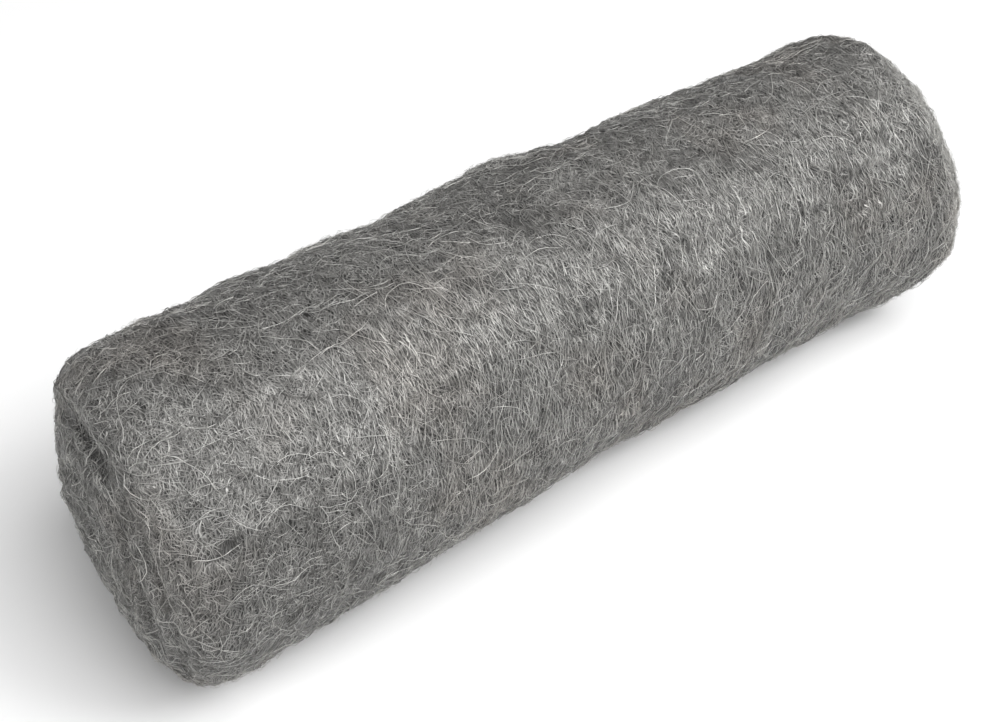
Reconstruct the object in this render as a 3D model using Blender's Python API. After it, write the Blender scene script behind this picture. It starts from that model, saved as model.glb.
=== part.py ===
"""Steel wool roll: one long pad of steel wool, rolled up on itself, lying on its side.

The roll lies along X on the plane Z = 0, with its full end at -X and its slimmer end at +X.
Its front is at -Y. All sizes are in metres.
"""

import math

import bmesh
import bpy
from mathutils import Vector, noise

# Overall sizes, between the middles of the ends and across the sides
ROLL_LENGTH = 0.210
FULL_END_DIAMETER = 0.0718
SLIM_END_DIAMETER = 0.0654

# The rolled pad. Its free edge lies along the back, low down
PAD_THICKNESS = 0.0070
GROOVE_DEPTH = 0.0020
LAP_STEP = 0.0016
LAP_ANGLE = math.radians(235)

# The ends: how far the rim rounds over, and how far the middle turns stand out of it
FULL_END_ROUNDING = 0.0095
SLIM_END_ROUNDING = 0.0045
FULL_END_CROWN = 0.0060
SLIM_END_CROWN = 0.0025

# The ends aren't square: how far the rim stands out at the front and at the top
FULL_END_FRONT_LEAN = 0.0045
SLIM_END_FRONT_LEAN = 0.0060
SLIM_END_TOP_LEAN = 0.0035
LEAN_REACH = 0.050

# Softness: the flat that the roll settles on, and the unevenness of its surface. Tufts are rounded
# bumps with creases between them, and the tuft level is the mean size of the noise that they follow.
# Those on the ends are flatter
FLAT_DEPTH = 0.0011
LUMP_HEIGHT = 0.0009
LUMP_SPACING = 0.024
TUFT_HEIGHT = 0.0022
TUFT_SPACING = 0.011
TUFT_LEVEL = 0.23
END_TUFT_SHARE = 0.5

# Swells and hollows: share of the length from the full end, angle from the top, height, reach
SWELLS = (
    (0.03, -39, 0.0010, 0.009),
    (0.07, -51, -0.0012, 0.009),
    (0.20, -51, 0.0011, 0.013),
    (0.30, -51, -0.0008, 0.010),
    (0.37, -51, 0.0012, 0.010),
    (0.50, -51, 0.0008, 0.014),
    (0.60, -51, 0.0018, 0.013),
    (0.72, -51, -0.0008, 0.014),
    (0.90, -51, -0.0018, 0.013),
    (0.975, -6, 0.0016, 0.014),
    (0.15, 129, 0.0013, 0.018),
    (0.29, 129, 0.0008, 0.010),
    (0.36, 129, -0.0005, 0.010),
    (0.54, 129, -0.0012, 0.014),
    (0.66, 129, 0.0009, 0.012),
    (0.96, 129, 0.0014, 0.024),
    (0.99, 110, 0.0028, 0.014),
)

# Mesh density
STEPS_AROUND = 66
RINGS_PER_TURN = 4
STRAIGHT_STATIONS = 42
ROUNDING_ANGLES = (60, 75, 90)
SHOULDER_ANGLE = math.radians(45)

FULL_RADIUS = FULL_END_DIAMETER / 2
SLIM_RADIUS = SLIM_END_DIAMETER / 2
MEAN_RADIUS = (FULL_RADIUS + SLIM_RADIUS) / 2
INNER_RADIUS = MEAN_RADIUS - LAP_STEP / 2
TURNS = max(2, round(MEAN_RADIUS / PAD_THICKNESS))
RING_COUNT = TURNS * RINGS_PER_TURN
OUTER_FADE_TURNS = 0.15
INNER_FADE_TURNS = 0.9
WELD_DISTANCE = 1e-6

WOOL_COLOUR = (0.205, 0.202, 0.194, 1.0)
WOOL_ROUGHNESS = 0.55
WOOL_METALLIC = 0.85


def clear_scene():
    for obj in list(bpy.data.objects):
        bpy.data.objects.remove(obj)


def smooth_share(value):
    """0 below 0, 1 above 1, and an S-curve between them."""
    value = min(1.0, max(0.0, value))
    return value * value * (3 - 2 * value)


class RollEnd:
    """One end of the roll. Depth is measured inwards from its outermost plane."""

    def __init__(self, rounding, crown):
        self.rounding = rounding
        self.crown = crown
        self.shoulder = INNER_RADIUS - rounding * (1 - math.sin(SHOULDER_ANGLE))
        self.pitch = self.shoulder / TURNS

    def depth(self, radius):
        """Depth of the plain, ungrooved end at a radius up to the shoulder's."""
        depth = self.crown * (radius / self.shoulder) ** 2
        past = radius - (INNER_RADIUS - self.rounding)
        if past > 0:
            depth += self.rounding - math.sqrt(self.rounding**2 - past**2)
        return depth

    def ring_point(self, ring, turn_share):
        """(depth, radius) of a ring of the spiral, part of a turn round from the pad's free edge."""
        ring_turn = ring / RINGS_PER_TURN
        turn = ring_turn + turn_share
        radius = plain_radius = self.pitch * turn
        in_last_turn = ring_turn - (TURNS - 1)
        if in_last_turn > 0:
            inner = self.pitch * (TURNS - 1 + turn_share)
            plain_radius = inner + (self.shoulder - inner) * in_last_turn
            radius = plain_radius + LAP_STEP * turn_share * in_last_turn
        strength = smooth_share((TURNS - turn) / OUTER_FADE_TURNS) * smooth_share(turn / INNER_FADE_TURNS)
        from_crest = abs(2 * (ring_turn % 1) - 1)
        groove = GROOVE_DEPTH * strength * from_crest**2
        return self.depth(plain_radius) + groove, radius

    def rounding_point(self, angle, turn_share):
        """(depth, radius) on the rounding between the end's shoulder and the roll's side."""
        depth = self.crown + self.rounding * (1 - math.cos(angle))
        radius = INNER_RADIUS - self.rounding * (1 - math.sin(angle))
        return depth, radius + LAP_STEP * turn_share


FULL_END = RollEnd(FULL_END_ROUNDING, FULL_END_CROWN)
SLIM_END = RollEnd(SLIM_END_ROUNDING, SLIM_END_CROWN)


def meridian(turn_share):
    """(x, radius) along the roll's outline from one end's middle to the other's.

    x runs from 0 to the roll's length, and the radius is that of an untapered roll.
    """
    points = [FULL_END.ring_point(ring, turn_share) for ring in range(RING_COUNT + 1)]
    for angle in ROUNDING_ANGLES:
        points.append(FULL_END.rounding_point(math.radians(angle), turn_share))
    start = points[-1][0]
    slim_side = [SLIM_END.ring_point(ring, turn_share) for ring in range(RING_COUNT + 1)]
    for angle in ROUNDING_ANGLES:
        slim_side.append(SLIM_END.rounding_point(math.radians(angle), turn_share))
    end = ROLL_LENGTH - slim_side[-1][0]
    side_radius = INNER_RADIUS + LAP_STEP * turn_share
    for station in range(1, STRAIGHT_STATIONS):
        points.append((start + (end - start) * station / STRAIGHT_STATIONS, side_radius))
    points += [(ROLL_LENGTH - depth, radius) for depth, radius in reversed(slim_side)]
    return points


def unevenness(x, angle):
    """How far the surface stands proud at a distance along the roll and an angle from its top."""
    around = Vector((x, MEAN_RADIUS * math.sin(angle), MEAN_RADIUS * math.cos(angle)))
    height = LUMP_HEIGHT * 2 * noise.noise(around / LUMP_SPACING)
    for share, degrees, swell, reach in SWELLS:
        turn = math.remainder(angle - math.radians(degrees), math.tau)
        distance = math.hypot(x - share * ROLL_LENGTH, MEAN_RADIUS * turn)
        height += swell * math.exp(-((distance / reach) ** 2))
    return height


def tuft(x, radius, angle):
    """How far a tuft, or the crease between two of them, stands out at a point of the ideal roll."""
    place = Vector((x, radius * math.sin(angle), radius * math.cos(angle)))
    return TUFT_HEIGHT * (abs(noise.noise(place / TUFT_SPACING)) - TUFT_LEVEL)


def side_share(x, radius):
    """1 on the roll's side, 0 on its ends, and an S-curve over the rounding between them."""
    rounding = FULL_END_ROUNDING if x < ROLL_LENGTH / 2 else SLIM_END_ROUNDING
    return smooth_share((radius - INNER_RADIUS) / rounding + 1)


def lean(x, front, top):
    """How far a point near an end moves along the roll, by its shares of the way to the front and top."""
    near_full_end = max(0.0, 1 - x / LEAN_REACH) ** 2
    near_slim_end = max(0.0, 1 - (ROLL_LENGTH - x) / LEAN_REACH) ** 2
    slim_end_lean = SLIM_END_FRONT_LEAN * front + SLIM_END_TOP_LEAN * top
    return near_slim_end * slim_end_lean - near_full_end * FULL_END_FRONT_LEAN * front


def settled(x, radius, angle):
    """Tapers, leans and dents a point of the ideal roll, and lays it on the plane Z = 0."""
    front = radius / MEAN_RADIUS * math.sin(angle)
    top = radius / MEAN_RADIUS * math.cos(angle)
    local_radius = FULL_RADIUS + (SLIM_RADIUS - FULL_RADIUS) * x / ROLL_LENGTH
    bump, sideways = tuft(x, radius, angle), side_share(x, radius)
    uneven_radius = local_radius + unevenness(x, angle) + bump * sideways
    outwards = END_TUFT_SHARE * bump * (1 - sideways) * math.copysign(1, x - ROLL_LENGTH / 2)
    z = local_radius - FLAT_DEPTH + uneven_radius * top
    return Vector((x + lean(x, front, top) + outwards, -uneven_radius * front, max(z, 0.0)))


def place_meridian(verts, turn_share):
    angle = LAP_ANGLE + math.tau * turn_share
    for vert, (x, radius) in zip(verts, meridian(turn_share)):
        vert.co = settled(x, radius, angle)


def sweep_round(bm):
    """Extrudes the outline round the axis, one step at a time, and winds the ends as a spiral."""
    verts = [bm.verts.new() for _ in meridian(0)]
    edges = [bm.edges.new(pair) for pair in zip(verts, verts[1:])]
    place_meridian(verts, 0)
    for step in range(1, STEPS_AROUND + 1):
        made = bmesh.ops.extrude_edge_only(bm, edges=edges)["geom"]
        verts = [item for item in made if isinstance(item, bmesh.types.BMVert)]
        edges = [item for item in made if isinstance(item, bmesh.types.BMEdge)]
        place_meridian(verts, step / STEPS_AROUND)


def close_seams(bm):
    """Welds each turn to the next, then closes the middles and the pad's free edge."""
    bmesh.ops.remove_doubles(bm, verts=bm.verts, dist=WELD_DISTANCE)
    open_edges = [edge for edge in bm.edges if edge.is_boundary]
    bmesh.ops.holes_fill(bm, edges=open_edges)
    bmesh.ops.triangulate(bm, faces=[face for face in bm.faces if len(face.verts) > 4])


def centre_on_origin(bm):
    for axis in (0, 1):
        values = [vert.co[axis] for vert in bm.verts]
        middle = (min(values) + max(values)) / 2
        for vert in bm.verts:
            vert.co[axis] -= middle


def wool_material():
    material = bpy.data.materials.new("steel_wool")
    material.use_nodes = True
    shader = material.node_tree.nodes["Principled BSDF"]
    shader.inputs["Base Color"].default_value = WOOL_COLOUR
    shader.inputs["Roughness"].default_value = WOOL_ROUGHNESS
    shader.inputs["Metallic"].default_value = WOOL_METALLIC
    return material


def make_roll():
    bm = bmesh.new()
    sweep_round(bm)
    close_seams(bm)
    centre_on_origin(bm)
    bmesh.ops.recalc_face_normals(bm, faces=bm.faces)
    mesh = bpy.data.meshes.new("steel_wool_roll")
    bm.to_mesh(mesh)
    bm.free()
    mesh.shade_smooth()
    mesh.materials.append(wool_material())
    roll = bpy.data.objects.new("steel_wool_roll", mesh)
    bpy.context.scene.collection.objects.link(roll)
    return roll


clear_scene()
make_roll()
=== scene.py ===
"""The looks of the steel wool roll: a matted body with tens of thousands of steel fibres lying on it.

Everything is in metres, in the CAD's frame: the roll lies along X on Z = 0, with its full end at -X and
its front at -Y. An angle round the roll is measured from its top towards its front.
"""

import math
import random
from collections import namedtuple

import bmesh
import bpy
from mathutils import Matrix, Vector, noise
from mathutils.bvhtree import BVHTree


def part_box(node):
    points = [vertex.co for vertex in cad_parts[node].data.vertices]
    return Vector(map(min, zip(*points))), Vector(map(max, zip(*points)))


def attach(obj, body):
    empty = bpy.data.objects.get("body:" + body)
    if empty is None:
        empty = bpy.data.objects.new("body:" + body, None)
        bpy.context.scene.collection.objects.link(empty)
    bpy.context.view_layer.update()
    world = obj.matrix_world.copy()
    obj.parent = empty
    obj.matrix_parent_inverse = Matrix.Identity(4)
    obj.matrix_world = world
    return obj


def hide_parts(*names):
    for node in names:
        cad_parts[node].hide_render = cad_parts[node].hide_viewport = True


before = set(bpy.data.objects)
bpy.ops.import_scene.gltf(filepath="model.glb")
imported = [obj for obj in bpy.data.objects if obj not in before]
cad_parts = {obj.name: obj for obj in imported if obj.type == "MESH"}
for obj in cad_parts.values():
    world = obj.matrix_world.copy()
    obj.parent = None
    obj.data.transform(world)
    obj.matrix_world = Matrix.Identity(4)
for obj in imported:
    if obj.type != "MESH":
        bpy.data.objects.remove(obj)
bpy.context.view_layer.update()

ROLL_LOW, ROLL_HIGH = (Vector(corner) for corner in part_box("steel_wool_roll"))
AXIS_HEIGHT = (ROLL_LOW.z + ROLL_HIGH.z) / 2
ROLL_RADIUS = (ROLL_HIGH.z - ROLL_LOW.z) / 2
ROLL_MIDDLE = Vector((0, 0, AXIS_HEIGHT))
MM = 0.001

# Camera: turn and height of the photograph's view, and where the roll lies in it
PHOTO_WIDTH_PX = 1000
PHOTO_FOCAL_PX = 1700
SENSOR_WIDTH_MM = 36
CAMERA_AZIMUTH = math.radians(-36.9)
CAMERA_ELEVATION = math.radians(44.756)
CAMERA_DISTANCE = 0.37492
PICTURE_RIGHT_OF_ROLL = -0.00448
PICTURE_ABOVE_ROLL = -0.00935
CAMERA_CLIP_START = 0.01

# Stage
FLOOR_WIDTH = 6.0
FLOOR_SEEN = 0.92
FLOOR_BOUNCE = 0.10
SHADOW_REACH = 0.25
FLOOR_ROUGHNESS = 0.9

# Light: a broad lamp over the roll, a small one that the camera sees mirrored along it as a brighter band,
# and one for the full end. Angles are round the roll from its top, and leans are towards its slim end
LAMP_DISTANCE = 1.3
Lamp = namedtuple("Lamp", "angle lean width watts")
LAMPS = {
    "key_lamp": Lamp(math.radians(28), math.radians(9), 1.3, 19.0),
    "band_lamp": Lamp(math.radians(37), math.radians(25), 0.5, 5.0),
    "fill_lamp": Lamp(math.radians(-10), math.radians(-66), 0.9, 6.5),
}
# The world's light at the horizon and overhead, and the height from which it is as strong as overhead
HORIZON_LIGHT, SKY_LIGHT, SKY_START = 0.048, 0.20, 0.7

# Matted body of the roll
MAT_VOXEL = 1.15 * MM
MAT_INSET = 0.35 * MM
TUFT_HEIGHT, TUFT_SPACING, TUFT_LEVEL = 0.9 * MM, 4.0 * MM, 0.23
LUMP_HEIGHT, LUMP_SPACING = 0.15 * MM, 2.4 * MM
CAD_WELD, FIBRE_WELD = 1e-6, 1e-8

# The full end: the swollen rim of the outer turn, and the crease between it and the next turn
RIM_X, RIM_RADIUS = ROLL_LOW.x + 7.4 * MM, 31.2 * MM
RIM_SWELL, RIM_REACH = 0.8 * MM, 2.4 * MM
CREASE_RADIUS, CREASE_DEPTH, CREASE_REACH = 25.4 * MM, 1.5 * MM, 1.5 * MM
CREASE_DRIFT, CREASE_DRIFT_ANGLE, CREASE_DRIFT_REACH = 5.0 * MM, math.radians(65), math.radians(30)
CREASE_START, CREASE_END, CREASE_FADE = math.radians(-45), math.radians(125), math.radians(20)
CREASE_WANE_ANGLE, CREASE_WANE = math.radians(8), 0.65

# Dents: distance along the roll, angle and radius, with their depth and reach
DENTS = (
    (-89.8 * MM, math.radians(62), 35.6 * MM, 1.6 * MM, 3.2 * MM),
    (-3.0 * MM, math.radians(3), 32.4 * MM, 1.0 * MM, 3.0 * MM),
    (-104.5 * MM, math.radians(166), 16.5 * MM, 1.3 * MM, 4.0 * MM),
    (-104.8 * MM, math.radians(-75), 10.5 * MM, -1.0 * MM, 6.0 * MM),
)

# Lay of the fibres: curly near the full end, on top and behind, and combed round the roll elsewhere
LAY_SWING, LEVEL_LAY_ANGLE = 0.22, math.radians(43)
FLOW_SWING, FLOW_SPACING = 0.30, 32 * MM
CURLY_UNTIL, COMBED_FROM = -88 * MM, -35 * MM
COMBED_ANGLES = tuple(math.radians(degrees) for degrees in (0, 38, 120, 170))
LEAST_COMBED_ROUND = 0.1
UNCOMBED_SPREAD, UNCOMBED_TURN = 0.6, 1.4

# Crests where the wool stands loose, painted pale as light shining through the fuzz: distance along the
# roll, angle and reach
CRESTS = tuple((x * MM, math.radians(angle), reach * MM) for x, angle, reach in (
    (-77, -50, 2.6),
    (-38, -51, 3.0),
    (-31, -52, 1.8),
    (7, -51, 2.2),
    (17, -52, 2.4),
    (51, -50, 2.0),
    (83, -50, 2.2),
    (89, -51, 1.8),
    (95, -50, 2.2),
))
CREST_SWELL, CREST_PALENESS = 0.5 * MM, 0.6

# The rim of the slim end, painted pale as light shining through its fuzz: where it starts and is full, along
# the roll and by radius
PALE_X, PALE_FULL_X = ROLL_HIGH.x - 7 * MM, ROLL_HIGH.x - 1.5 * MM
PALE_RADIUS, PALE_FULL_RADIUS = 24 * MM, 31 * MM

# Kinds of fibre. The step, lift and radius are in mm. The spread is that of the lay, loose is the share
# lying anyhow, and bend and curl are to a step. The tones run from 0, dull, to 1, bright
FibreKind = namedtuple(
    "FibreKind", "count steps step spread loose bend curl lift waves radius dullest brightest")
FIBRE_KINDS = {
    "wound_fibres_low": FibreKind(3800, 5, 2.2, 0.17, 0.08, 0.08, 0.08, 0.30, 1.0, 0.085, 0.1, 0.65),
    "wound_fibres_high": FibreKind(6500, 6, 1.8, 0.17, 0.08, 0.08, 0.10, 0.45, 1.0, 0.080, 0.1, 0.9),
    "curly_fibres": FibreKind(4800, 7, 1.0, 0.6, 0.35, 0.20, 0.10, 0.55, 1.0, 0.075, 0.1, 0.75),
    "cross_fibres": FibreKind(3500, 5, 1.8, 0.5, 0.4, 0.12, 0.12, 0.45, 1.0, 0.075, 0.1, 0.85),
    "long_strands": FibreKind(1500, 10, 1.8, 0.20, 0.05, 0.05, 0.08, 0.75, 2.0, 0.080, 0.6, 1.0),
    "fuzz": FibreKind(9000, 3, 1.1, 0.9, 0.8, 0.20, 0.30, 1.00, 0.0, 0.045, 0.7, 1.0),
    "loops": FibreKind(7500, 4, 0.9, 0.9, 0.8, 0.30, 0.20, 1.00, 0.5, 0.042, 0.7, 1.0),
}
RIM_STRANDS = FibreKind(130, 10, 1.8, 0.25, 0.1, 0.05, 0.08, 0.70, 2.0, 0.080, 0.4, 0.9)
RIM_STRAND_REACH = 0.6 * RIM_REACH
SINK = 0.15 * MM

# A fibre's lift and thickness as shares of its kind's, how soon it rises, and how far it waves. Those with
# no waves rise as a power of the way along, and those with waves sink in again
LEAST_LIFT, MOST_LIFT = 0.3, 1.2
THINNEST, THICKEST = 0.7, 1.2
RISE, WAVE_MIDDLE, WAVE_SWING, FREE_END_POWER = 5, 0.6, 0.4, 1.5
WANDER_KEPT = 0.8
FLOOR_CLEARANCE = 1.2
TAPER, TONE_POWER = 6, 1.5

# How much rarer curly fibres are where the wool is combed, and the share of long strands where it isn't
COMBED_LOSS, UNCOMBED_SHARE = 0.75, 0.15

# Clumps that the fuzz and the loops stand in, the noise at a clump's edge and middle, and the share of
# both elsewhere and where the wool is pale
CLUMP_SPACING = 9 * MM
CLUMP_EDGE, CLUMP_MIDDLE = 0.0, 0.4
THIN_SHARE, PALE_SHARE = 0.2, 9.0

# Strands painted and embossed on the matted body: turn from the winding in degrees, spacing in mm, wander
# in radians, width and length of a patch of them in mm, sharpness, and brightness. The deep ones come first,
# and are dimmer, as painted shade on the strands that lie lower
StrandLayer = namedtuple("StrandLayer", "turn spacing wander across along sharpness level")
SHADED_DEEP_LAYERS = (
    StrandLayer(2, 0.70, 6, 1.0, 4.0, 0.1, 0.34),
    StrandLayer(30, 0.75, 6, 1.0, 3.0, 0.1, 0.24),
    StrandLayer(-32, 0.75, 6, 1.0, 3.0, 0.1, 0.26),
)
STRAND_LAYERS = (
    StrandLayer(6, 0.75, 6, 1.0, 5.0, 0.45, 1.0),
    StrandLayer(-9, 0.80, 6, 1.0, 4.5, 0.45, 0.95),
    StrandLayer(17, 0.85, 6, 1.1, 4.0, 0.45, 0.85),
    StrandLayer(-30, 0.85, 6, 1.1, 3.5, 0.5, 0.65),
    StrandLayer(65, 0.95, 7, 1.1, 3.0, 0.5, 0.45),
)
CURL_LAYERS = (
    StrandLayer(20, 0.75, 14, 2.2, 2.4, 0.45, 0.85),
    StrandLayer(-45, 0.70, 12, 1.9, 2.1, 0.45, 0.75),
    StrandLayer(50, 0.70, 11, 1.6, 1.8, 0.45, 0.7),
)

# What a layer's seed is multiplied by for its sway and patches, and the noise at a patch's edge and middle
SWAY_SEED, PATCH_SEED = 3, 5
PATCH_EDGE, PATCH_MIDDLE = 0.42, 0.60

# Half the length over which the pattern passes from following one end's face to following the other's
END_REACH = 0.05

# Drifts of the painted strands, by the metre and how far, and their strength where the wool is uncombed
# and where it is combed
COMBED_DRIFT, COMBED_DRIFT_REACH = 110, 2.6 * MM
CURLY_DRIFT, CURLY_DRIFT_REACH = 200, 2.8 * MM
CURLS_UNCOMBED, CURLS_COMBED = 0.9, 0.35
STROKES_UNCOMBED, STROKES_COMBED = 0.4, 1.0

# Matted body's colours: two tints of its gaps, nearly black as painted shade between the strands, and of its
# strands, and those of the pale places, painted light as of light shining through loose fuzz, and the
# painted shade of the crease and dents
TINTS_PER_METRE, TINT_START, TINT_FULL = 90, 0.35, 0.65
# The gaps are nearly black: painted shade between the strands, in two tints that change at random
SHADED_GAP_TINTS = (0.018, 0.0176, 0.0168, 1), (0.032, 0.0314, 0.030, 1)
STRAND_TINTS = (0.48, 0.474, 0.455, 1), (0.60, 0.593, 0.570, 1)
PAINTED_GLOW_GAP, PAINTED_GLOW_STRAND = (0.40, 0.395, 0.38, 1), (0.95, 0.94, 0.91, 1)
HOLLOW_SHADE_COLOUR = (0.03, 0.03, 0.03, 1)
HOLLOW_START, HOLLOW_FULL, HOLLOW_SHADE = 0.1, 0.9, 0.5
MAT_METALLIC, PALE_METALLIC, MAT_ROUGHNESS = 0.5, 0.0, 0.46
EMBOSSING = 0.3 * MM

# Fibres' finish, from the dullest to the brightest
DULL_STEEL, BRIGHT_STEEL = (0.09, 0.0889, 0.0851, 1), (0.72, 0.711, 0.683, 1)
FIBRE_METALLIC, FIBRE_ROUGHNESS = 0.6, 0.38

# Warm patches in both
WARM_PER_METRE, WARM_START, WARM_FULL, WARM_SHARE = 45, 0.48, 0.72, 0.5
WARM_COLOUR = (1.0, 0.95, 0.92, 1)


def smooth_share(value, start, end):
    """0 at the start, 1 at the end, and an S-curve between them."""
    share = min(1.0, max(0.0, (value - start) / (end - start)))
    return share * share * (3 - 2 * share)


def hump(distance, reach):
    return math.exp(-((distance / reach) ** 2))


def linked(name, data):
    piece = bpy.data.objects.new(name, data)
    bpy.context.scene.collection.objects.link(piece)
    return piece


def camera_axes():
    back = Vector((
        math.sin(CAMERA_AZIMUTH) * math.cos(CAMERA_ELEVATION),
        -math.cos(CAMERA_AZIMUTH) * math.cos(CAMERA_ELEVATION),
        math.sin(CAMERA_ELEVATION),
    ))
    right = Vector((math.cos(CAMERA_AZIMUTH), math.sin(CAMERA_AZIMUTH), 0))
    return right, back.cross(right), back


def make_camera():
    right, up, back = camera_axes()
    data = bpy.data.cameras.new("camera")
    data.sensor_width = SENSOR_WIDTH_MM
    data.lens = PHOTO_FOCAL_PX * SENSOR_WIDTH_MM / PHOTO_WIDTH_PX
    data.clip_start = CAMERA_CLIP_START
    camera = linked("camera", data)
    turn = Matrix((right, up, back)).transposed().to_4x4()
    middle = ROLL_MIDDLE + right * PICTURE_RIGHT_OF_ROLL + up * PICTURE_ABOVE_ROLL
    camera.matrix_world = Matrix.Translation(middle + back * CAMERA_DISTANCE) @ turn
    bpy.context.scene.camera = camera


def make_lamp(name, kind):
    across = math.cos(kind.lean)
    direction = Vector((math.sin(kind.lean), -math.sin(kind.angle) * across, math.cos(kind.angle) * across))
    data = bpy.data.lights.new(name, "AREA")
    data.shape = "DISK"
    data.size = kind.width
    data.energy = kind.watts
    lamp = linked(name, data)
    lamp.location = ROLL_MIDDLE + direction * LAMP_DISTANCE
    lamp.rotation_euler = direction.to_track_quat("Z", "Y").to_euler()


class Graph:
    """Adds nodes to a material, a line each."""

    def __init__(self, name):
        self.material = bpy.data.materials.new(name)
        self.material.use_nodes = True
        self.nodes = self.material.node_tree.nodes
        self.links = self.material.node_tree.links
        self.shader = self.nodes["Principled BSDF"]

    def feed(self, socket, value):
        if isinstance(value, bpy.types.NodeSocket):
            self.links.new(value, socket)
        else:
            socket.default_value = value

    def math(self, operation, first, second=0.0):
        node = self.nodes.new("ShaderNodeMath")
        node.operation = operation
        self.feed(node.inputs[0], first)
        self.feed(node.inputs[1], second)
        return node.outputs[0]

    def vector(self, x, y, z):
        node = self.nodes.new("ShaderNodeCombineXYZ")
        for socket, value in zip(node.inputs, (x, y, z)):
            self.feed(socket, value)
        return node.outputs[0]

    def vector_math(self, operation, first, second):
        node = self.nodes.new("ShaderNodeVectorMath")
        node.operation = operation
        self.feed(node.inputs[0], first)
        self.feed(node.inputs["Scale" if operation == "SCALE" else 1], second)
        return node.outputs[0]

    def length(self, vector):
        node = self.nodes.new("ShaderNodeVectorMath")
        node.operation = "LENGTH"
        self.feed(node.inputs[0], vector)
        return node.outputs["Value"]

    def split(self, vector):
        node = self.nodes.new("ShaderNodeSeparateXYZ")
        self.feed(node.inputs[0], vector)
        return node.outputs

    def attribute(self, name):
        node = self.nodes.new("ShaderNodeAttribute")
        node.attribute_name = name
        return node.outputs["Fac"]

    def place(self):
        return self.nodes.new("ShaderNodeTexCoord").outputs["Object"]

    def mapped(self, vector, location=(0, 0, 0), rotation=(0, 0, 0), scale=(1, 1, 1)):
        node = self.nodes.new("ShaderNodeMapping")
        self.feed(node.inputs["Vector"], vector)
        node.inputs["Location"].default_value = location
        node.inputs["Rotation"].default_value = rotation
        node.inputs["Scale"].default_value = scale
        return node.outputs[0]

    def noise(self, vector, scale=1.0, detail=0.0, output="Fac"):
        node = self.nodes.new("ShaderNodeTexNoise")
        self.feed(node.inputs["Vector"], vector)
        node.inputs["Scale"].default_value = scale
        node.inputs["Detail"].default_value = detail
        return node.outputs[output]

    def ramp(self, value, low, high, to_low=0.0, to_high=1.0, smooth=True):
        node = self.nodes.new("ShaderNodeMapRange")
        node.interpolation_type = "SMOOTHSTEP" if smooth else "LINEAR"
        self.feed(node.inputs["Value"], value)
        for name, number in (("From Min", low), ("From Max", high), ("To Min", to_low), ("To Max", to_high)):
            self.feed(node.inputs[name], number)
        return node.outputs["Result"]

    def mix(self, share, first, second, blend="MIX"):
        node = self.nodes.new("ShaderNodeMix")
        node.data_type = "RGBA"
        node.blend_type = blend
        self.feed(node.inputs["Factor"], share)
        self.feed(node.inputs["A"], first)
        self.feed(node.inputs["B"], second)
        return node.outputs["Result"]


def make_world():
    """The world lights the roll softly, more from above than from the sides, and shows the camera white."""
    world = bpy.data.worlds.new("studio")
    world.use_nodes = True
    nodes, links = world.node_tree.nodes, world.node_tree.links
    nodes.clear()
    direction = nodes.new("ShaderNodeSeparateXYZ")
    links.new(nodes.new("ShaderNodeTexCoord").outputs["Generated"], direction.inputs[0])
    light = nodes.new("ShaderNodeMapRange")
    light.inputs["From Max"].default_value = SKY_START
    light.inputs["To Min"].default_value = HORIZON_LIGHT
    light.inputs["To Max"].default_value = SKY_LIGHT
    links.new(direction.outputs["Z"], light.inputs["Value"])
    strength = nodes.new("ShaderNodeMath")
    strength.operation = "MAXIMUM"
    links.new(nodes.new("ShaderNodeLightPath").outputs["Is Camera Ray"], strength.inputs[0])
    links.new(light.outputs["Result"], strength.inputs[1])
    background = nodes.new("ShaderNodeBackground")
    background.inputs["Color"].default_value = (1, 1, 1, 1)
    output = nodes.new("ShaderNodeOutputWorld")
    links.new(strength.outputs["Value"], background.inputs["Strength"])
    links.new(background.outputs["Background"], output.inputs["Surface"])
    bpy.context.scene.world = world


def floor_material():
    """Near white to the camera and in reflections, and a quieter grey where it lights the roll.

    Past the roll's shadow it also glows white, to the camera alone.
    """
    graph = Graph("floor")
    path = graph.nodes.new("ShaderNodeLightPath").outputs
    seen = graph.math("MAXIMUM", path["Is Camera Ray"], path["Is Glossy Ray"])
    seen = graph.math("MAXIMUM", seen, path["Is Transmission Ray"])
    quiet, pale = (FLOOR_BOUNCE,) * 3 + (1,), (FLOOR_SEEN,) * 3 + (1,)
    graph.feed(graph.shader.inputs["Base Color"], graph.mix(seen, quiet, pale))
    far = graph.ramp(graph.length(graph.place()), SHADOW_REACH, SHADOW_REACH * 2)
    graph.shader.inputs["Emission Color"].default_value = (1, 1, 1, 1)
    graph.feed(graph.shader.inputs["Emission Strength"], graph.math("MULTIPLY", path["Is Camera Ray"], far))
    graph.shader.inputs["Roughness"].default_value = FLOOR_ROUGHNESS
    graph.shader.inputs["Specular IOR Level"].default_value = 0.0
    return graph.material


def make_floor():
    bm = bmesh.new()
    bmesh.ops.create_grid(bm, x_segments=1, y_segments=1, size=FLOOR_WIDTH / 2)
    mesh = bpy.data.meshes.new("floor")
    bm.to_mesh(mesh)
    bm.free()
    mesh.materials.append(floor_material())
    floor = linked("floor", mesh)


def finished(mesh, name, material):
    mesh.name = name
    mesh.materials.clear()
    mesh.materials.append(material)
    piece = linked(name, mesh)
    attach(piece, "root")
    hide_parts("steel_wool_roll")


def evaluated_mesh(obj):
    graph = bpy.context.evaluated_depsgraph_get()
    mesh = bpy.data.meshes.new_from_object(obj.evaluated_get(graph))
    bpy.data.objects.remove(obj)
    return mesh


def around_roll(point):
    """Angle and radius of a point round the roll's axis."""
    height = point.z - AXIS_HEIGHT
    return math.atan2(-point.y, height), math.hypot(point.y, height)


def combed(point):
    """How far the fibres lie combed at a place, from 0 to 1."""
    angle, _ = around_roll(point)
    top, front, low, underneath = COMBED_ANGLES
    round_share = smooth_share(angle, top, front) * (1 - smooth_share(angle, low, underneath))
    round_share = LEAST_COMBED_ROUND + (1 - LEAST_COMBED_ROUND) * round_share
    return smooth_share(point.x, CURLY_UNTIL, COMBED_FROM) * round_share


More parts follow.
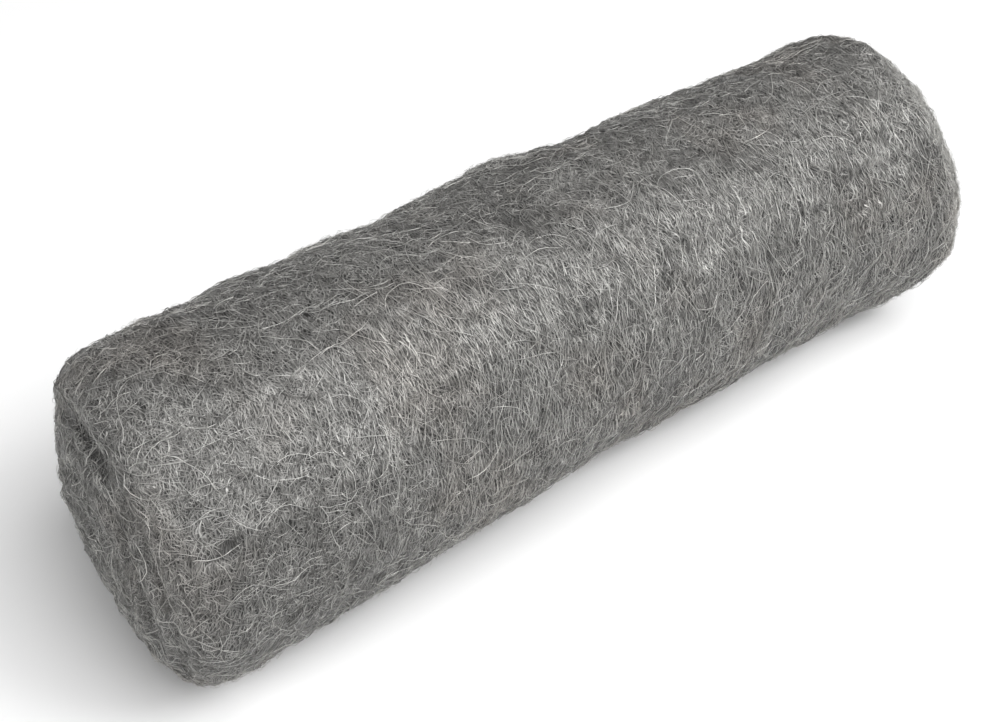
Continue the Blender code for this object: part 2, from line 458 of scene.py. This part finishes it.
def crest(point):
    """1 in the middle of a crest, and 0 away from them."""
    best = 0.0
    for x, angle, reach in CRESTS:
        middle = Vector((x, -ROLL_RADIUS * math.sin(angle), AXIS_HEIGHT + ROLL_RADIUS * math.cos(angle)))
        best = max(best, hump((point - middle).length, reach))
    return best


def paleness(point):
    """How pale the wool is painted at a place, as light shining through loose fuzz: on a crest, and round
    the front of the slim end's rim.
    """
    _, radius = around_roll(point)
    at_rim = smooth_share(point.x, PALE_X, PALE_FULL_X) * smooth_share(radius, PALE_RADIUS, PALE_FULL_RADIUS)
    return max(CREST_PALENESS * crest(point), at_rim)


def lay_angle(point):
    """How far the fibres turn from straight round the roll towards its slim end."""
    return LAY_SWING * math.sin(LEVEL_LAY_ANGLE - around_roll(point)[0])


def crease_depth(point):
    """Depth of the crease inside the rim of the full end."""
    angle, radius = around_roll(point)
    drift = CREASE_DRIFT * hump(angle - CREASE_DRIFT_ANGLE, CREASE_DRIFT_REACH)
    shown = smooth_share(angle, CREASE_START, CREASE_START + CREASE_FADE)
    shown *= 1 - CREASE_WANE * smooth_share(angle, CREASE_WANE_ANGLE, CREASE_WANE_ANGLE + CREASE_FADE)
    shown *= 1 - smooth_share(angle, CREASE_END - CREASE_FADE, CREASE_END)
    at_end = 1 - smooth_share(point.x, RIM_X, RIM_X + RIM_REACH * 3)
    return CREASE_DEPTH * shown * at_end * hump(radius - (CREASE_RADIUS - drift), CREASE_REACH)


def dent_depth(point):
    depth = 0
    for x, angle, radius, deepest, reach in DENTS:
        middle = Vector((x, -radius * math.sin(angle), AXIS_HEIGHT + radius * math.cos(angle)))
        depth += deepest * hump((point - middle).length, reach)
    return depth


def relief(point):
    """How far the matted surface stands out of the smooth roll, without its crease and dents."""
    tufts = TUFT_HEIGHT * (abs(noise.noise(point / TUFT_SPACING)) - TUFT_LEVEL)
    lumps = LUMP_HEIGHT * 2 * noise.noise(point / LUMP_SPACING)
    _, radius = around_roll(point)
    from_rim = math.hypot(point.x - RIM_X, radius - RIM_RADIUS)
    return tufts + lumps + RIM_SWELL * hump(from_rim, RIM_REACH) - MAT_INSET


def make_mat(material):
    """The roll's body: the CAD's form, smoothed, and then matted with tufts, a crease and dents."""
    bm = bmesh.new()
    bm.from_mesh(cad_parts["steel_wool_roll"].data)
    bmesh.ops.remove_doubles(bm, verts=bm.verts, dist=CAD_WELD)
    smooth = bpy.data.meshes.new("smooth_roll")
    bm.to_mesh(smooth)
    bm.free()
    guide = linked("smooth_roll", smooth)
    subdivision = guide.modifiers.new("subdivision", "SUBSURF")
    subdivision.levels = subdivision.render_levels = 1
    remesh = guide.modifiers.new("remesh", "REMESH")
    remesh.mode = "VOXEL"
    remesh.voxel_size = MAT_VOXEL
    mesh = evaluated_mesh(guide)
    bm = bmesh.new()
    bm.from_mesh(mesh)
    bm.normal_update()
    hollows = [crease_depth(vert.co) + dent_depth(vert.co) for vert in bm.verts]
    pales = [paleness(vert.co) for vert in bm.verts]
    lays = [combed(vert.co) for vert in bm.verts]
    moves = [
        vert.normal * (relief(vert.co) + CREST_SWELL * crest(vert.co) - hollow)
        for vert, hollow in zip(bm.verts, hollows)
    ]
    for vert, move in zip(bm.verts, moves):
        place = vert.co + move
        vert.co = (place.x, place.y, max(place.z, 0.0))
    bmesh.ops.triangulate(bm, faces=bm.faces)
    tree = BVHTree.FromBMesh(bm)
    bm.to_mesh(mesh)
    bm.free()
    # Share of painted shade in the crease and dents, by their depth
    shades = [min(1.0, hollow / CREASE_DEPTH) for hollow in hollows]
    for name, values in (("hollow", shades), ("pale", pales), ("combed", lays)):
        mesh.attributes.new(name, "FLOAT", "POINT").data.foreach_set("value", values)
    mesh.shade_smooth()
    finished(mesh, "matted_roll", material)
    return mesh, tree


def start_points(mesh, count, rng, weigh):
    """Random places on the mat, by area and by the weight of each place."""
    weights = [face.area * weigh(face.center) for face in mesh.polygons]
    chosen = rng.choices(range(len(weights)), weights=weights, k=count)
    return [mesh.polygons[index].center for index in chosen]


def anywhere(point):
    """All over the roll, but less in its deeper dents."""
    return max(0.0, 1 - dent_depth(point) / MM)


def mostly_uncombed(point):
    return (1 - COMBED_LOSS * combed(point)) * anywhere(point)


def mostly_combed(point):
    return (UNCOMBED_SHARE + (1 - UNCOMBED_SHARE) * combed(point)) * anywhere(point)


def in_clumps(point):
    """More in clumps over the roll, and most of all where the wool is pale."""
    clump = smooth_share(noise.noise(point / CLUMP_SPACING), CLUMP_EDGE, CLUMP_MIDDLE)
    return (THIN_SHARE + clump + PALE_SHARE * paleness(point)) * anywhere(point)


def on_rim(point):
    _, radius = around_roll(point)
    return hump(math.hypot(point.x - RIM_X, radius - RIM_RADIUS), RIM_STRAND_REACH)


def grow_fibre(tree, rng, start, kind):
    """Points of one fibre that wanders over the mat from a start, rising from it and sinking in."""
    uncombed = 1 - combed(start)
    turning = 1 + UNCOMBED_TURN * uncombed
    if rng.random() < kind.loose:
        angle = rng.uniform(-math.pi, math.pi)
    else:
        flow = lay_angle(start) + FLOW_SWING * noise.noise(start / FLOW_SPACING)
        angle = rng.gauss(flow, kind.spread + UNCOMBED_SPREAD * uncombed)
        angle += math.pi * rng.randrange(2)
    steady = rng.gauss(0, kind.bend * turning)
    wander = 0.0
    lift = kind.lift * (MM * rng.uniform(LEAST_LIFT, MOST_LIFT))
    phase = rng.uniform(0, math.tau)
    points = []
    place = start
    for number in range(kind.steps + 1):
        share = number / kind.steps
        surface, normal, _, _ = tree.find_nearest(place)
        along = Vector((0, AXIS_HEIGHT - surface.z, surface.y))
        across = normal.cross(along).normalized()
        along = across.cross(normal)
        if kind.waves:
            wave = WAVE_MIDDLE + WAVE_SWING * math.sin(math.tau * kind.waves * share + phase)
            height = lift * min(1.0, RISE * share * (1 - share)) * wave
            sunk = SINK
        else:
            height = lift * share**FREE_END_POWER
            sunk = SINK * (1 - share)
        point = surface + normal * (height - sunk)
        points.append((point.x, point.y, max(point.z, kind.radius * MM * FLOOR_CLEARANCE)))
        place = surface + (along * math.cos(angle) + across * math.sin(angle)) * kind.step * MM
        wander = wander * WANDER_KEPT + rng.gauss(0, kind.curl * turning)
        angle += steady + wander
    return points


def fibre_section():
    """A triangle, the section of every fibre."""
    curve = bpy.data.curves.new("fibre_section", "CURVE")
    spline = curve.splines.new("POLY")
    spline.points.add(2)
    for index, point in enumerate(spline.points):
        turn = math.tau * index / 3
        point.co = (math.cos(turn), math.sin(turn), 0, 1)
    spline.use_cyclic_u = True
    return linked("fibre_section", curve)


def make_fibres(name, kind, starts, tree, rng, section, material):
    """One piece of many fibres, each a closed tube that tapers to a point at both ends."""
    shares = [number / kind.steps for number in range(kind.steps + 1)]
    curve = bpy.data.curves.new(name, "CURVE")
    curve.dimensions = "3D"
    curve.bevel_mode = "OBJECT"
    curve.bevel_object = section
    tones = []
    for start in starts:
        path = grow_fibre(tree, rng, start, kind)
        radius = kind.radius * MM * rng.uniform(THINNEST, THICKEST)
        tones.append(kind.dullest + (kind.brightest - kind.dullest) * rng.random() ** TONE_POWER)
        spline = curve.splines.new("POLY")
        spline.points.add(kind.steps)
        spline.points.foreach_set("co", [value for point in path for value in (*point, 1)])
        radii = [radius * min(1, TAPER * share * (1 - share)) for share in shares]
        spline.points.foreach_set("radius", radii)
    mesh = evaluated_mesh(linked(name, curve))
    per_fibre = 3 * len(shares)
    attribute = mesh.attributes.new("tone", "FLOAT", "POINT")
    attribute.data.foreach_set("value", [tone for tone in tones for _ in range(per_fibre)])
    bm = bmesh.new()
    bm.from_mesh(mesh)
    bmesh.ops.remove_doubles(bm, verts=bm.verts, dist=FIBRE_WELD)
    bmesh.ops.triangulate(bm, faces=bm.faces)
    if bm.calc_volume(signed=True) < 0:
        bmesh.ops.reverse_faces(bm, faces=bm.faces)
    bm.to_mesh(mesh)
    bm.free()
    mesh.shade_smooth()
    finished(mesh, name, material)


def wound_coordinates(graph):
    """Distance over the end, distance round the axis and depth, in metres, as the pad is wound."""
    x, y, z = graph.split(graph.place())
    height = graph.math("SUBTRACT", z, AXIS_HEIGHT)
    squares = graph.math("ADD", graph.math("MULTIPLY", y, y), graph.math("MULTIPLY", height, height))
    radius = graph.math("SQRT", squares)
    end = graph.ramp(x, -END_REACH, END_REACH, 1.0, -1.0, smooth=False)
    over = graph.math("ADD", x, graph.math("MULTIPLY", end, graph.math("SUBTRACT", radius, ROLL_RADIUS)))
    lay_up = graph.math("MULTIPLY", height, LAY_SWING * math.cos(LEVEL_LAY_ANGLE))
    lay_back = graph.math("MULTIPLY", y, LAY_SWING * math.sin(LEVEL_LAY_ANGLE))
    over = graph.math("SUBTRACT", graph.math("ADD", over, lay_back), lay_up)
    turn = graph.math("MULTIPLY", graph.math("ARCTAN2", y, height), ROLL_RADIUS)
    return graph.vector(over, turn, radius)


def drifting(graph, wound, seed, per_metre, reach):
    """Wound coordinates that drift from side to side, so that strands along them curve."""
    drift = graph.noise(graph.mapped(wound, location=(seed, 0, 0)), scale=per_metre, output="Color")
    drift = graph.vector_math("SUBTRACT", drift, (0.5, 0.5, 0.5))
    return graph.vector_math("ADD", wound, graph.vector_math("SCALE", drift, reach))


def strand_layer(graph, warped, seed, layer):
    """Patches of fine wavy lines that run round the roll, 0 in the gaps and its brightness on top."""
    turned = graph.mapped(warped, rotation=(0, 0, math.radians(layer.turn)))
    scale = (1 / (layer.across * MM), 1 / (layer.along * MM), 1 / (layer.across * MM))
    sway = graph.noise(graph.mapped(turned, location=(seed, seed * SWAY_SEED, 0), scale=scale))
    phase = graph.math("MULTIPLY", graph.split(turned)[0], math.tau / (layer.spacing * MM))
    phase = graph.math("ADD", phase, graph.math("MULTIPLY", sway, layer.wander))
    lines = graph.ramp(graph.math("SINE", phase), layer.sharpness, 1.0)
    patches = graph.noise(graph.mapped(turned, location=(seed * PATCH_SEED, seed, 0), scale=scale))
    shown = graph.math("MULTIPLY", lines, graph.ramp(patches, PATCH_EDGE, PATCH_MIDDLE))
    return graph.math("MULTIPLY", shown, layer.level)


def warm_patches(graph, colour):
    """Faint warm brown patches in the grey."""
    patches = graph.noise(graph.place(), scale=WARM_PER_METRE, detail=3)
    share = graph.ramp(patches, WARM_START, WARM_FULL, 0.0, WARM_SHARE)
    return graph.mix(share, colour, WARM_COLOUR, "MULTIPLY")


def mat_material():
    graph = Graph("matted_wool")
    wound = wound_coordinates(graph)
    lay = graph.attribute("combed")
    curls = graph.ramp(lay, 0.0, 1.0, CURLS_UNCOMBED, CURLS_COMBED, smooth=False)
    strokes = graph.ramp(lay, 0.0, 1.0, STROKES_UNCOMBED, STROKES_COMBED, smooth=False)
    combed_way = drifting(graph, wound, 1.0, COMBED_DRIFT, COMBED_DRIFT_REACH)
    curly_way = drifting(graph, wound, 2.0, CURLY_DRIFT, CURLY_DRIFT_REACH)
    top = 0.0
    for seed, layer in enumerate(SHADED_DEEP_LAYERS + STRAND_LAYERS + CURL_LAYERS):
        way = curly_way if layer in CURL_LAYERS else combed_way
        strands = strand_layer(graph, way, seed + 1.0, layer)
        if layer in CURL_LAYERS:
            strands = graph.math("MULTIPLY", strands, curls)
        if layer in STRAND_LAYERS:
            strands = graph.math("MULTIPLY", strands, strokes)
        top = graph.math("MAXIMUM", strands, top)
    tint = graph.ramp(graph.noise(wound, scale=TINTS_PER_METRE, detail=2), TINT_START, TINT_FULL)
    # The pale places are painted near white and not metallic: painted light, as of light shining through
    # loose fuzz
    pale = graph.attribute("pale")
    # Gaps painted nearly black as shade between the strands
    shaded_gaps = graph.mix(pale, graph.mix(tint, *SHADED_GAP_TINTS), PAINTED_GLOW_GAP)
    light = graph.mix(pale, graph.mix(tint, *STRAND_TINTS), PAINTED_GLOW_STRAND)
    colour = warm_patches(graph, graph.mix(top, shaded_gaps, light))
    # The crease and dents are painted near black by their depth: painted shade in the hollows
    shade = graph.ramp(graph.attribute("hollow"), HOLLOW_START, HOLLOW_FULL, 0.0, HOLLOW_SHADE)
    graph.feed(graph.shader.inputs["Base Color"], graph.mix(shade, colour, HOLLOW_SHADE_COLOUR))
    metallic = graph.ramp(pale, 0.0, 1.0, MAT_METALLIC, PALE_METALLIC, smooth=False)
    graph.feed(graph.shader.inputs["Metallic"], metallic)
    graph.shader.inputs["Roughness"].default_value = MAT_ROUGHNESS
    bump = graph.nodes.new("ShaderNodeBump")
    bump.inputs["Distance"].default_value = EMBOSSING
    bump.inputs["Strength"].default_value = 1.0
    graph.feed(bump.inputs["Height"], top)
    graph.feed(graph.shader.inputs["Normal"], bump.outputs["Normal"])
    return graph.material


def fibre_material():
    graph = Graph("steel_fibre")
    tone = graph.attribute("tone")
    colour = graph.mix(tone, DULL_STEEL, BRIGHT_STEEL)
    graph.feed(graph.shader.inputs["Base Color"], warm_patches(graph, colour))
    graph.shader.inputs["Roughness"].default_value = FIBRE_ROUGHNESS
    graph.shader.inputs["Metallic"].default_value = FIBRE_METALLIC
    return graph.material


def main():
    make_camera()
    for name, kind in LAMPS.items():
        make_lamp(name, kind)
    make_world()
    make_floor()
    mesh, tree = make_mat(mat_material())
    section = fibre_section()
    steel = fibre_material()
    rng = random.Random(8)
    likely_places = {
        "curly_fibres": mostly_uncombed,
        "long_strands": mostly_combed,
        "fuzz": in_clumps,
        "loops": in_clumps,
    }
    for name, kind in FIBRE_KINDS.items():
        weigh = likely_places.get(name, anywhere)
        starts = start_points(mesh, kind.count, rng, weigh)
        make_fibres(name, kind, starts, tree, rng, section, steel)
    starts = start_points(mesh, RIM_STRANDS.count, rng, on_rim)
    make_fibres("rim_strands", RIM_STRANDS, starts, tree, rng, section, steel)
    bpy.data.objects.remove(section)
    bpy.context.scene.view_settings.view_transform = "Standard"


main()
